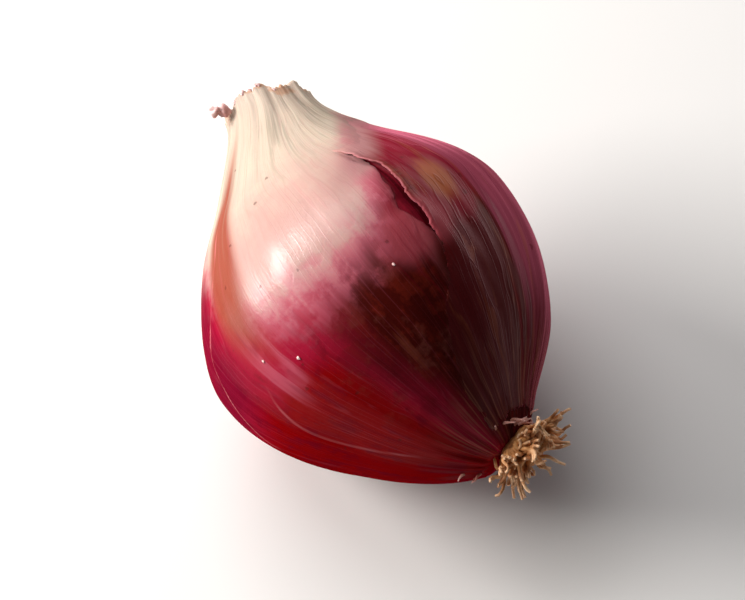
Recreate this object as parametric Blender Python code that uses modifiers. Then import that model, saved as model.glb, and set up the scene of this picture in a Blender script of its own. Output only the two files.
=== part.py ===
# A shallot lying on its side: the bulb with its pale neck, the torn dry outer skin on one flank,
# the dried leaf ends in the neck's mouth, and the tuft of dry roots.
# The origin is the middle of the flat spot that it rests on. +X runs from the neck to the roots, +Z is up.
# Lengths are in millimetres and angles in degrees until MM turns them into Blender's metres.

import math
import random

import bmesh
import bpy
from mathutils import Matrix, Vector

MM = 0.001

# Driving sizes of the bulb
BULB_RADIUS = 17.5
NECK_RADIUS = 4.45
ROOT_RADIUS = 3.0
NECK_LENGTH = 22.0  # from the widest section back to the neck's rim
ROOT_LENGTH = 21.4  # from the widest section on to the root plate
FLAT_DEPTH = 0.6  # how much the flat resting spot takes off the round belly

# How the profile swells: towards the neck it is an S-curve, towards the roots nearly a parabola
NECK_SWELL = 0.88
ROOT_SWELL = 2.11

# The bulb grew a little bent: both ends lie to the +Y side of the widest section
NECK_SIDE = 3.64
ROOT_SIDE = 1.17
ROOT_DRIFT = 1.65  # how late the middle line leaves towards the roots
NECK_TILT = -15.0  # the last stretch turns both ends towards the +Y side
ROOT_TILT = 8.6
TILT_REACH = 9.0
NECK_LIFT = 1.2  # the neck rises a little from the table

# Unevenness of the round section, as shares of the radius, each lobe with its own angle
LOBES = ((2, 0.016, 70.0), (3, 0.010, 200.0), (5, 0.004, 15.0))
RIB_COUNT = 15
RIB_HEIGHT = 0.20
RIB_WIDTH = 5.5
RIB_SEED = 11

# The neck's rim is cut on a slant, and its edge is ragged
RIM_SLANT = 1.3
RIM_LOW_ANGLE = 65.0  # where the rim is cut shortest
RIM_RAGGED = 0.35
RIM_REACH = 5.0  # how far down the neck the slant dies out
MOUTH_RADIUS = 3.5
MOUTH_DEPTH = 3.2

# The dry outer skin: where it lies round the bulb and along it, with its torn edges
SKIN_THICKNESS = 0.6
SKIN_GAP = 0.3
SKIN_PROUD = 0.1  # how far its outer face stands above the bare bulb beside it
SKIN_TOP_ANGLE = 72.0
SKIN_NECK_LEAN = 8.0  # the upper edge climbs towards the neck
SKIN_ROOT_LEAN = 30.0  # and more towards the roots
SKIN_ROOT_LEAN_START = 4.0
SKIN_LOW_ANGLE = -62.0
SKIN_NECK_END = -15.6
SKIN_ROOT_END = 19.2
SKIN_TEAR = 0.5
SKIN_CURL = 0.7
SKIN_CURL_REACH = 3.2
SKIN_SINK = SKIN_GAP + SKIN_THICKNESS - SKIN_PROUD  # how deep the bulb dips under the skin
SINK_MARGIN = 0.9
SINK_SLOPE = 2.2

# The tuft of dry roots on its plate
PLATE_RADIUS = 2.9
PLATE_HEIGHT = 1.0
PLATE_GAP = 0.3
ROOT_COUNT = 34
ROOT_STEPS_EACH = 6
ROOT_THICK = 0.42
ROOT_TIP = 0.55  # share of the thickness left at a root's tip
ROOT_SHORTEST = 3.0
ROOT_LONGEST = 5.2
ROOT_SPREAD = 58.0
ROOT_CURL = (14.0, 40.0)  # degrees that a root turns from step to step
ROOT_SEED = 5

# The dried leaf ends in the neck's mouth
PLUG_RADIUS = 2.6
PLUG_HEIGHT = 1.5
SHRED_COUNT = 9
SHRED_WIDTH = 0.95
SHRED_LENGTH = 4.2
SHRED_SEED = 3

TURNS = 84  # faces round the bulb
NECK_STEPS = 14
ROOT_STEPS = 15


def smooth(t):
    t = min(1.0, max(0.0, t))
    return t * t * (3.0 - 2.0 * t)


def wrapped(angle):
    """The same angle in degrees, from -180 to 180."""
    return (angle + 180.0) % 360.0 - 180.0


def profile_radius(x):
    """Radius of the bulb at x, before lobes and ribs."""
    if x < 0.0:
        t = (x + NECK_LENGTH) / NECK_LENGTH
        return NECK_RADIUS + (BULB_RADIUS - NECK_RADIUS) * smooth(max(t, 0.0) ** NECK_SWELL)
    t = min(x / ROOT_LENGTH, 1.0)
    return ROOT_RADIUS + (BULB_RADIUS - ROOT_RADIUS) * (1.0 - t**ROOT_SWELL)


def side_of(x):
    """How far the middle line lies to the side at x."""
    if x < 0.0:
        return NECK_SIDE * smooth((-x / NECK_LENGTH - 0.45) / 0.62)
    return ROOT_SIDE * min(x / ROOT_LENGTH, 1.0) ** ROOT_DRIFT


def middle(x):
    """The middle line at x. It crosses above the origin at the widest section."""
    return Vector((x, side_of(x), BULB_RADIUS - FLAT_DEPTH + NECK_LIFT * smooth(-x / NECK_LENGTH)))


def section_axes(x):
    """Unit vectors of the section at x: along the bulb, sideways and up."""
    at_neck = smooth((-x - NECK_LENGTH + TILT_REACH) / TILT_REACH)
    at_roots = smooth((x - ROOT_LENGTH + TILT_REACH) / TILT_REACH)
    tilt = math.radians(NECK_TILT * at_neck + ROOT_TILT * at_roots)
    along = Vector((math.cos(tilt), math.sin(tilt), 0.0))
    up = Vector((0.0, 0.0, 1.0))
    return along, up.cross(along), up


def rib_angles():
    """Where the low ribs run, evenly spread round the bulb and then shaken a little."""
    draw = random.Random(RIB_SEED)
    pitch = 360.0 / RIB_COUNT
    return [i * pitch + draw.uniform(-0.3, 0.3) * pitch for i in range(RIB_COUNT)]


RIBS = rib_angles()


def uneven(x, angle):
    """Radius at x and angle: the profile with its lobes and ribs."""
    radius = profile_radius(x)
    lobes = sum(share * math.cos(math.radians(n * (angle - at))) for n, share, at in LOBES)
    ribs = sum(math.exp(-((wrapped(angle - at) / RIB_WIDTH) ** 2)) for at in RIBS)
    fade = radius / BULB_RADIUS
    return radius * (1.0 + lobes * fade) + RIB_HEIGHT * fade * ribs


def rim_shift(x, angle):
    """How far a point near the neck's rim moves along the bulb, for the slant and the ragged edge."""
    near = smooth((-NECK_LENGTH + RIM_REACH - x) / RIM_REACH)
    turn = math.radians(angle)
    slant = RIM_SLANT * (1.0 + math.cos(turn - math.radians(RIM_LOW_ANGLE))) / 2.0
    ragged = math.sin(5 * turn + 1.0) + 0.7 * math.sin(9 * turn + 2.5) + 0.5 * math.sin(14 * turn)
    return near * (slant + RIM_RAGGED * ragged)


def placed(x, angle, radius):
    """The point at that radius round the middle line, in millimetres."""
    along, side, up = section_axes(x)
    turn = math.radians(angle)
    return middle(x) + radius * (math.cos(turn) * side + math.sin(turn) * up)


def torn(t, seed):
    """A ragged wave of about unit height along t, for torn edges."""
    return 0.6 * math.sin(0.5 * t + seed) + 0.3 * math.sin(1.1 * t + 1.7 * seed) + 0.2 * math.sin(1.9 * t)


def skin_angles(x):
    """The two torn side edges of the outer skin at x, in degrees."""
    per_mm = math.degrees(1.0 / profile_radius(x))
    past_start = (x - SKIN_ROOT_LEAN_START) / (ROOT_LENGTH - SKIN_ROOT_LEAN_START)
    lean = SKIN_NECK_LEAN * smooth(-x / NECK_LENGTH) + SKIN_ROOT_LEAN * smooth(past_start)
    top = SKIN_TOP_ANGLE + lean + SKIN_TEAR * torn(x, 1.0) * per_mm
    low = SKIN_LOW_ANGLE + SKIN_TEAR * torn(x, 4.0) * per_mm
    return low, top


def skin_ends(angle):
    """Where the outer skin begins near the neck and ends near the roots at that angle."""
    t = math.radians(angle) * 5.0
    return SKIN_NECK_END + SKIN_TEAR * torn(t, 2.0), SKIN_ROOT_END + 0.6 * SKIN_TEAR * torn(2 * t, 6.0)


def sink_at(x, angle):
    """How deep the bulb's surface dips at x and angle to make room for the outer skin."""
    turned = wrapped(angle)
    low, top = skin_angles(x)
    begins, ends = skin_ends(turned)
    mm_per_degree = math.radians(profile_radius(x))
    outside = max(
        (turned - top) * mm_per_degree,
        (low - turned) * mm_per_degree,
        begins - x,
        x - ends,
    )
    return SKIN_SINK * smooth(1.0 - (outside - SINK_MARGIN) / SINK_SLOPE)


def material(name, colour, roughness):
    made = bpy.data.materials.new(name)
    made.use_nodes = True
    shader = made.node_tree.nodes["Principled BSDF"]
    shader.inputs["Base Color"].default_value = (*colour, 1.0)
    shader.inputs["Roughness"].default_value = roughness
    shader.inputs["Metallic"].default_value = 0.0
    return made


def object_from(name, mesh, collection):
    made = bpy.data.objects.new(name, mesh)
    collection.objects.link(made)
    return made


def solid_mesh(obj):
    """The evaluated object as one welded mesh, in place. The object itself is removed."""
    bpy.context.view_layer.update()
    graph = bpy.context.evaluated_depsgraph_get()
    mesh = bpy.data.meshes.new_from_object(obj.evaluated_get(graph))
    mesh.transform(obj.matrix_world)
    bpy.data.objects.remove(obj)
    work = bmesh.new()
    work.from_mesh(mesh)
    bmesh.ops.remove_doubles(work, verts=work.verts, dist=1e-6)
    bmesh.ops.recalc_face_normals(work, faces=work.faces)
    work.to_mesh(mesh)
    work.free()
    return mesh


def turned_profile(collection):
    """The bulb's half outline from the root plate over the body and neck into the mouth, turned round X."""
    root_xs = [ROOT_LENGTH * (1.0 - (i / ROOT_STEPS) ** 1.25) for i in range(ROOT_STEPS)]
    neck_xs = [-NECK_LENGTH * i / NECK_STEPS for i in range(NECK_STEPS + 1)]
    outline = [(ROOT_LENGTH, 0.0)]
    outline += [(x, profile_radius(x)) for x in root_xs + neck_xs]
    outline += [
        (-NECK_LENGTH - 0.15, NECK_RADIUS - 0.45),
        (-NECK_LENGTH + 0.10, MOUTH_RADIUS),
        (-NECK_LENGTH + MOUTH_DEPTH, MOUTH_RADIUS),
        (-NECK_LENGTH + MOUTH_DEPTH, 0.0),
    ]
    mesh = bpy.data.meshes.new("bulb_outline")
    mesh.from_pydata([(x, r, 0.0) for x, r in outline], [(i, i + 1) for i in range(len(outline) - 1)], [])
    turned = object_from("bulb_outline", mesh, collection)
    screw = turned.modifiers.new("Turn", "SCREW")
    screw.axis = "X"
    screw.steps = screw.render_steps = TURNS
    screw.use_merge_vertices = True
    screw.merge_threshold = 1e-5
    return solid_mesh(turned)


def build_bulb(collection, cutter):
    """The turned outline bent onto the middle line, with lobes, ribs and the dip under the outer skin."""
    mesh = turned_profile(collection)
    for vertex in mesh.vertices:
        x, y, z = vertex.co
        radius = math.hypot(y, z)
        angle = math.degrees(math.atan2(z, y))
        share = radius / profile_radius(x)
        on_surface = uneven(x, angle) - sink_at(x, angle)
        place = x + rim_shift(x, angle) * min(share, 1.0)
        vertex.co = placed(place, angle, on_surface * share) * MM
    bulb = object_from("bulb", mesh, collection)
    mesh.materials.append(material("bulb_skin", (0.52, 0.07, 0.19), 0.35))
    mesh.shade_smooth()
    mesh.set_sharp_from_angle(angle=math.radians(40))
    cut = bulb.modifiers.new("Flat resting spot", "BOOLEAN")
    cut.operation = "DIFFERENCE"
    cut.object = cutter
    return bulb


def build_table_cutter(cutters):
    """A block whose top is the table: it takes the flat resting spot off the belly."""
    side = 4.0 * BULB_RADIUS * MM
    bpy.ops.mesh.primitive_cube_add(size=side, location=(0, 0, -side / 2))
    block = bpy.context.object
    block.name = "table_cutter"
    for home in list(block.users_collection):
        home.objects.unlink(block)
    cutters.objects.link(block)
    block.hide_render = True
    block.display_type = "WIRE"
    return block


def build_outer_skin(collection):
    """The torn papery skin: a grid laid on the bulb between its ragged edges, then thickened outwards."""
    across, lengthwise = 26, 28
    bpy.ops.mesh.primitive_grid_add(x_subdivisions=lengthwise, y_subdivisions=across, size=2)
    grid = bpy.context.object
    mesh = grid.data.copy()
    bpy.data.objects.remove(grid)
    for vertex in mesh.vertices:
        t, s = (vertex.co.x + 1.0) / 2.0, (vertex.co.y + 1.0) / 2.0
        guess = SKIN_NECK_END + t * (SKIN_ROOT_END - SKIN_NECK_END)
        low, top = skin_angles(guess)
        angle = low + s * (top - low)
        begins, ends = skin_ends(angle)
        x = begins + t * (ends - begins)
        low, top = skin_angles(x)
        angle = low + s * (top - low)
        mm_per_degree = math.radians(profile_radius(x))
        from_edge = min((top - angle) * mm_per_degree, x - begins)
        curl = SKIN_CURL * (1.0 - smooth(from_edge / SKIN_CURL_REACH)) * (0.6 + 0.4 * torn(x, 8.0))
        radius = uneven(x, angle) - SKIN_SINK + SKIN_GAP + max(curl, 0.0)
        vertex.co = placed(x, angle, radius) * MM
    face_away(mesh, middle(0.0) * MM)
    skin = object_from("outer_skin", mesh, collection)
    mesh.materials.append(material("papery_skin", (0.30, 0.05, 0.07), 0.45))
    mesh.shade_smooth()
    thick = skin.modifiers.new("Skin thickness", "SOLIDIFY")
    thick.thickness = SKIN_THICKNESS * MM
    thick.offset = 1.0
    return skin


def face_away(mesh, centre):
    """Turns the sheet's faces so that they look away from the centre."""
    face = mesh.polygons[len(mesh.polygons) // 2]
    if face.normal.dot(face.center - centre) < 0.0:
        mesh.flip_normals()


def joined(name, first, others, colour_material, collection):
    """first and the meshes in others fused into one solid by a Boolean union on a collection."""
    repeats = bpy.data.collections.new(name + "_repeats")
    collection.children.link(repeats)
    for number, mesh in enumerate(others):
        object_from(f"{name}_repeat_{number}", mesh, repeats)
    core = object_from(name + "_core", first, collection)
    union = core.modifiers.new("Fuse", "BOOLEAN")
    union.operation = "UNION"
    union.operand_type = "COLLECTION"
    union.collection = repeats
    union.solver = "EXACT"
    bpy.context.view_layer.update()
    graph = bpy.context.evaluated_depsgraph_get()
    mesh = bpy.data.meshes.new_from_object(core.evaluated_get(graph))
    for piece in list(repeats.objects) + [core]:
        bpy.data.objects.remove(piece)
    bpy.data.collections.remove(repeats)
    fused = object_from(name, mesh, collection)
    mesh.materials.clear()
    mesh.materials.append(colour_material)
    return fused


def tapered_strand(points, thick, tip_share, collection):
    """A round tapering strand through the points, as one closed mesh. Points and thickness are in millimetres."""
    curve = bpy.data.curves.new("strand", "CURVE")
    curve.dimensions = "3D"
    curve.bevel_depth = thick * MM
    curve.bevel_resolution = 0
    curve.use_fill_caps = True
    spline = curve.splines.new("POLY")
    spline.points.add(len(points) - 1)
    for i, point in enumerate(points):
        spline.points[i].co = (*(point * MM), 1.0)
        spline.points[i].radius = 1.0 + (tip_share - 1.0) * i / (len(points) - 1)
    return solid_mesh(object_from("strand", curve, collection))


def round_frame(axis):
    """Two unit vectors square to axis."""
    first = axis.orthogonal().normalized()
    return first, axis.cross(first)


def squashed_ball(centre, axis, radius, height, segments, rings):
    """A ball flattened along axis, as a mesh in metres."""
    work = bmesh.new()
    bmesh.ops.create_uvsphere(work, u_segments=segments, v_segments=rings, radius=1.0)
    first, second = round_frame(axis)
    for vertex in work.verts:
        a, b, c = vertex.co
        vertex.co = (centre + radius * (a * first + b * second) + height * c * axis) * MM
    bmesh.ops.recalc_face_normals(work, faces=work.faces)
    mesh = bpy.data.meshes.new("ball")
    work.to_mesh(mesh)
    work.free()
    return mesh


def build_root_tuft(collection):
    """Short dry roots that leave the root plate in all directions and curl back, fused to the plate."""
    draw = random.Random(ROOT_SEED)
    axis = section_axes(ROOT_LENGTH)[0]
    first, second = round_frame(axis)
    base = middle(ROOT_LENGTH) + (PLATE_GAP + PLATE_HEIGHT) * axis
    strands = []
    for number in range(ROOT_COUNT):
        share = (number + 0.5) / ROOT_COUNT
        turn = math.radians(number * 137.508)  # the golden angle spreads them evenly
        lean = math.radians(ROOT_SPREAD * share)
        outwards = math.cos(turn) * first + math.sin(turn) * second
        start = base + outwards * (PLATE_RADIUS - 0.8) * math.sqrt(share) - 0.2 * axis
        heading = math.cos(lean) * axis + math.sin(lean) * outwards
        length = draw.uniform(ROOT_SHORTEST, ROOT_LONGEST) * (1.0 - 0.25 * share)
        swing = math.radians(draw.uniform(-180.0, 180.0))
        aside = math.cos(swing) * first + math.sin(swing) * second
        curl = Matrix.Rotation(math.radians(draw.uniform(*ROOT_CURL)), 3, heading.cross(aside))
        twist = Matrix.Rotation(math.radians(draw.uniform(-30.0, 30.0)), 3, axis)
        points = [start]
        for _ in range(ROOT_STEPS_EACH):
            points.append(points[-1] + heading * length / ROOT_STEPS_EACH)
            heading = (twist @ curl @ heading).normalized()
        strands.append(tapered_strand(points, ROOT_THICK, ROOT_TIP, collection))
    plate = squashed_ball(base, axis, PLATE_RADIUS, PLATE_HEIGHT, 16, 8)
    return joined("root_tuft", plate, strands, material("dry_root", (0.50, 0.28, 0.12), 0.8), collection)


def flat_shred(start, heading, outwards, width, length):
    """A tapering dry blade, three times as wide as thick, as a mesh in metres."""
    work = bmesh.new()
    bmesh.ops.create_cone(work, cap_ends=True, segments=6, radius1=1.0, radius2=0.35, depth=1.0)
    across = heading.cross(outwards).normalized()
    thin = across.cross(heading)
    for vertex in work.verts:
        a, b, c = vertex.co
        rise = c + 0.5
        bow = 0.5 * rise * rise
        vertex.co = (start + width * a * across + (0.36 * b - bow) * thin + length * rise * heading) * MM
    bmesh.ops.recalc_face_normals(work, faces=work.faces)
    mesh = bpy.data.meshes.new("shred")
    work.to_mesh(mesh)
    work.free()
    return mesh


def build_dry_neck(collection):
    """The dried ends of the inner leaves: a plug in the neck's mouth with ragged blades standing on it."""
    draw = random.Random(SHRED_SEED)
    axis = -section_axes(-NECK_LENGTH)[0]
    first, second = round_frame(axis)
    base = middle(-NECK_LENGTH + MOUTH_DEPTH - SKIN_GAP - PLUG_HEIGHT / 2)
    shreds = []
    for number in range(SHRED_COUNT):
        turn = math.radians(number * 137.508)
        out = 0.35 + 1.45 * math.sqrt(number / (SHRED_COUNT - 1))
        outwards = math.cos(turn) * first + math.sin(turn) * second
        lean = 0.10 * draw.uniform(-0.3, 1.0)
        heading = (axis + lean * outwards).normalized()
        length = SHRED_LENGTH * draw.uniform(0.75, 1.0)
        shreds.append(flat_shred(base + out * outwards, heading, outwards, SHRED_WIDTH, length))
    plug = squashed_ball(base, axis, PLUG_RADIUS, PLUG_HEIGHT / 2, 14, 8)
    return joined("dry_neck", plug, shreds, material("dry_leaf", (0.55, 0.40, 0.24), 0.8), collection)


def clear_scene():
    for obj in list(bpy.data.objects):
        bpy.data.objects.remove(obj, do_unlink=True)


def new_collection(name):
    made = bpy.data.collections.new(name)
    bpy.context.scene.collection.children.link(made)
    return made


def main():
    clear_scene()
    shallot = new_collection("shallot")
    cutters = new_collection("cutters")
    build_bulb(shallot, build_table_cutter(cutters))
    build_outer_skin(shallot)
    build_dry_neck(shallot)
    build_root_tuft(shallot)


main()
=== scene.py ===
# A shallot lying on a pale floor, dressed around its solids.
# Its own lengths are in millimetres along the bulb (x) and degrees round it (0 is the +Y side, 90 the top).
import math
import random

import bmesh
import bpy
import numpy as np
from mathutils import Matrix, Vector


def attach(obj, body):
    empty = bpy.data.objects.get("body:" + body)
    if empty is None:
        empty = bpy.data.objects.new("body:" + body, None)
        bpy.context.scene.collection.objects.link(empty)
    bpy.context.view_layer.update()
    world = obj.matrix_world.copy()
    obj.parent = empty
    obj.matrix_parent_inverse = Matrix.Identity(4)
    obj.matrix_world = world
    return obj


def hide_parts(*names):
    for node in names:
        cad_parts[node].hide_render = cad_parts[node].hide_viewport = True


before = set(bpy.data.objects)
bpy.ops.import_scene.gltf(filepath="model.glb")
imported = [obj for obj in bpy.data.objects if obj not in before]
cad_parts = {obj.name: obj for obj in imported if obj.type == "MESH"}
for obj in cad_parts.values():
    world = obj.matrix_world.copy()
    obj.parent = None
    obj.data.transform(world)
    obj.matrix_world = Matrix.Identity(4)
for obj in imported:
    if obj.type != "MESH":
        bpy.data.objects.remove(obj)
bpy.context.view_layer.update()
mm = 0.001

bulbShape = {
    "radius": 17.5,  # at the widest section, x = 0
    "neckRadius": 4.45,
    "rootRadius": 3.0,
    "neckLength": 22.0,
    "rootLength": 21.4,
    "flatDepth": 0.6,  # the flat spot that it rests on
    "neckSwell": 0.88,  # how the outline swells from each end
    "rootSwell": 2.11,
    "neckSide": 3.64,  # the neck leans to +Y, from this share of its length on
    "neckSideFrom": 0.45,
    "neckSideReach": 0.62,
    "rootSide": 1.17,  # and the root end a little
    "rootDrift": 1.65,
    "neckTilt": -15.0,  # the end sections turn, in degrees
    "rootTilt": 8.6,
    "tiltReach": 9.0,
    "neckLift": 1.2,
    "lobes": ((2, 0.016, 70.0), (3, 0.010, 200.0), (5, 0.004, 15.0)),  # how many round, share, angle
    "ribCount": 15,
    "ribHeight": 0.20,
    "ribWidth": 5.5,
    "ribDrift": 0.3,
    "ribSeed": 11,
    "rimSlant": 1.5,  # the cut of the neck's rim
    "rimLowAngle": -50.0,
    "rimLift": 0.25,
    "rimRagged": 0.30,
    "rimWaves": ((5, 1.0, 1.0), (9, 0.7, 2.5), (14, 0.5, 0.0)),  # how many round, height, phase
    "rimReach": 5.0,
    "frayHeight": 0.16,
    "frayReach": 1.6,
    "mouthRadius": 3.5,
    "mouthDepth": 3.2,
}


def ease(t):
    t = np.clip(t, 0.0, 1.0)
    return t * t * (3.0 - 2.0 * t)


def rise(value, start, reach):  # from 0 at start to 1 at start + reach
    return ease((value - start) / reach)


def fall(value, end, reach):  # from 1 at end - reach to 0 at end
    return ease((end - value) / reach)


def bump(distance, width):
    return np.exp(-((distance / width) ** 2))


def wrapped(angle):
    return (angle + 180.0) % 360.0 - 180.0


def waves(turn, parts):
    return sum(height * np.sin(count * turn + phase) for count, height, phase in parts)


def profileRadius(x):
    b = bulbShape
    toNeck = np.clip((x + b["neckLength"]) / b["neckLength"], 0.0, 1.0)
    toRoot = np.clip(x / b["rootLength"], 0.0, 1.0)
    neckSide = b["neckRadius"] + (b["radius"] - b["neckRadius"]) * ease(toNeck ** b["neckSwell"])
    rootSide = b["rootRadius"] + (b["radius"] - b["rootRadius"]) * (1.0 - toRoot ** b["rootSwell"])
    return np.where(x < 0.0, neckSide, rootSide)


def onSection(x, angle, radius):  # points at that radius round the bent middle line
    b = bulbShape
    lean = b["neckSide"] * rise(-x / b["neckLength"], b["neckSideFrom"], b["neckSideReach"])
    drift = b["rootSide"] * np.clip(x / b["rootLength"], 0.0, 1.0) ** b["rootDrift"]
    side = np.where(x < 0.0, lean, drift)
    height = b["radius"] - b["flatDepth"] + b["neckLift"] * ease(-x / b["neckLength"])
    atNeck = fall(x, b["tiltReach"] - b["neckLength"], b["tiltReach"])
    atRoots = rise(x, b["rootLength"] - b["tiltReach"], b["tiltReach"])
    tilt = np.radians(b["neckTilt"] * atNeck + b["rootTilt"] * atRoots)
    turn = np.radians(angle)
    across, up = radius * np.cos(turn), radius * np.sin(turn)
    return np.stack([x - across * np.sin(tilt), side + across * np.cos(tilt), height + up], -1)


def ribAngles():
    b = bulbShape
    draw = random.Random(b["ribSeed"])
    pitch = 360.0 / b["ribCount"]
    return [i * pitch + draw.uniform(-b["ribDrift"], b["ribDrift"]) * pitch for i in range(b["ribCount"])]


ribs = ribAngles()


def uneven(x, angle):  # the profile with its lobes and low ribs
    radius = profileRadius(x)
    lobes = sum(share * np.cos(np.radians(n * (angle - at))) for n, share, at in bulbShape["lobes"])
    ribSum = sum(bump(wrapped(angle - at), bulbShape["ribWidth"]) for at in ribs)
    fade = radius / bulbShape["radius"]
    return radius * (1.0 + lobes * fade) + bulbShape["ribHeight"] * fade * ribSum


def rimShift(x, angle):  # the slanted and ragged cut of the neck's rim
    b = bulbShape
    turn = np.radians(angle)
    slant = b["rimSlant"] * (1.0 + np.cos(turn - math.radians(b["rimLowAngle"]))) / 2.0
    cut = slant - b["rimLift"] + b["rimRagged"] * waves(turn, b["rimWaves"])
    frayed = np.sin(31 * turn) * np.sin(13 * turn + 1.3) + 0.6 * np.sin(53 * turn + 0.7)
    near = fall(x, b["rimReach"] - b["neckLength"], b["rimReach"])
    close = fall(x, b["frayReach"] - b["neckLength"], b["frayReach"])
    return near * cut + b["frayHeight"] * close * frayed


def torn(t, seed):
    return 0.6 * np.sin(0.5 * t + seed) + 0.3 * np.sin(1.1 * t + 1.7 * seed) + 0.2 * np.sin(1.9 * t)


paperySkin = {
    "topAngle": 75.0,  # its torn upper edge, which climbs towards both ends
    "neckLean": 16.0,
    "rootLean": 30.0,
    "rootLeanStart": 4.0,
    "lowAngle": -62.0,
    "neckEnd": -15.6,
    "rootEnd": 20.2,
    "tear": 0.4,
    "fineTear": 0.05,
    "thickness": 0.12,
    "sink": 0.34,  # how deep the bulb lies under it
    "gap": 0.10,
    "lipHeight": 0.32,  # its upper edge stands up, the others less
    "lipReach": 1.3,
    "edgeHeight": 0.18,
    "edgeReach": 1.5,
    "wrinkleHeight": 0.05,
    "mergeTop": -9.8,  # where it comes out of the neck's skin, at its upper edge and on the flank
    "mergeFlank": -14.4,
    "mergeReach": 4.0,
    "flushFrom": 3.0,  # towards the roots it lies flush
    "flushReach": 4.0,
    "rowsAlong": 230,
    "columnsRound": 150,
    "relief": {"Vein height": 0.10 * mm, "Vein count": 15.0, "Vein stretch": 0.9, "Dent height": 0.18 * mm,
               "Seed": 8.0},
    "spots": {"zoneGold": ((1.0, -0.2, 62.0, 3.6, 7.0),), "zoneBlush": ((1.0, 3.4, 73.0, 3.0, 7.0),)},
}


def skinEdges(x):  # both side edges of the papery skin at x, in degrees
    s = paperySkin
    perMm = np.degrees(1.0 / profileRadius(x))
    toRoots = rise(x, s["rootLeanStart"], bulbShape["rootLength"] - s["rootLeanStart"])
    lean = s["neckLean"] * ease(-x / bulbShape["neckLength"]) + s["rootLean"] * toRoots
    fine = s["fineTear"] * (np.sin(3.1 * x + 2 * np.sin(1.7 * x)) + np.sin(7.3 * x + 2 * np.sin(2.9 * x)))
    top = s["topAngle"] + lean + (s["tear"] * torn(x, 1.0) + fine) * perMm
    low = s["lowAngle"] + (s["tear"] * torn(x, 4.0) + 2.0 * fine) * perMm
    return low, top


def skinEnds(angle):  # both its ends at that angle, in mm
    s = paperySkin
    t = np.radians(angle) * 5.0
    fine = 0.25 * (np.sin(9.0 * t) * np.sin(3.1 * t + 1.0) + 0.6 * np.sin(17.0 * t))
    neck = s["neckEnd"] + s["tear"] * torn(t, 2.0) + fine
    return neck, s["rootEnd"] + 0.6 * s["tear"] * torn(2 * t, 6.0) - 0.7 * np.abs(fine)


def outsideSkin(x, angle):  # how far a point lies outside the papery skin, in mm, negative under it
    turned = wrapped(angle)
    low, top = skinEdges(x)
    begins, ends = skinEnds(turned)
    perDegree = np.radians(profileRadius(x))
    return np.max([(turned - top) * perDegree, (low - turned) * perDegree, begins - x, x - ends], axis=0)


# Where the pale skin ends beside the papery one, as an angle that changes along the bulb
paleEdge = {"angle": 79.8, "slope": 0.68, "step": 0.13, "from": -9.0, "to": 7.0}


def paleGap(x, angle):  # mm, positive on the papery skin's side of the pale skin's edge
    at = paleEdge["angle"] + paleEdge["slope"] * x
    wander = 0.14 * np.sin(1.9 * x) + 0.06 * np.sin(5.1 * x + 2 * np.sin(1.3 * x))
    return wrapped(at - angle) * np.radians(profileRadius(x)) + wander


def bareGap(x, angle):  # the same for the redder skin it uncovers, which narrows towards both its ends; the material paints crevice shade over it
    fade = fall(x, paleEdge["to"], 6.0) * rise(x, paleEdge["from"], 2.5)
    return np.minimum(paleGap(x, angle), 3.0) - 4.0 * (1.0 - fade) - 6.0 * ease(-wrapped(angle) / 30.0)


# Two fine skin edges on the lower left, as points along and round the bulb
foldEdges = {
    "Low": {"x": (4.5, 7.9, 11.3, 15.1, 18.0), "angle": (156.0, 163.0, 167.0, 162.0, 156.0)},
    "Left": {"x": (-12.0, -6.3, -3.0, -0.6, 4.2, 8.0), "angle": (150.0, 156.0, 162.0, 173.0, 187.0, 192.0)},
}


def foldAngle(edge, x):  # a smooth line through its points
    return np.polyval(np.polyfit(edge["x"], edge["angle"], 3), x)


def foldFade(edge, x):
    return rise(x, edge["x"][0], 2.0) * fall(x, edge["x"][-1], 2.0)


bulbRelief = {
    "pleats": ((21, 0.45, 2.0), (34, 0.25, 1.0)),  # lengthwise folds of the dry neck, over 13 slanted ones
    "pleatHeight": 0.10,
    "pleatReach": 9.0,
    "puckers": ((17, 1.0, 1.0), (27, 0.8, 0.0), (41, 0.5, 2.0)),  # small folds round the root plate
    "puckerHeight": 0.13,
    "puckerReach": 5.0,
    "edgeHeight": 0.09,
    "edgeWidth": 0.36,
    "columnsRound": 336,
    "rowsAlong": 176,
    "crowding": 0.055,  # rows lie closer together at both ends
    "capStep": 0.15,
    "capShares": (0.12, 0.35, 0.6, 0.85),  # rings of the root end, as shares of its radius
    "mouthShares": (0.7, 0.4, 0.12),  # and of the mouth's floor
    "relief": {"Vein height": 0.09 * mm, "Vein count": 17.0, "Vein stretch": 1.1, "Dent height": 0.22 * mm,
               "Seed": 3.0},
}


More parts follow.
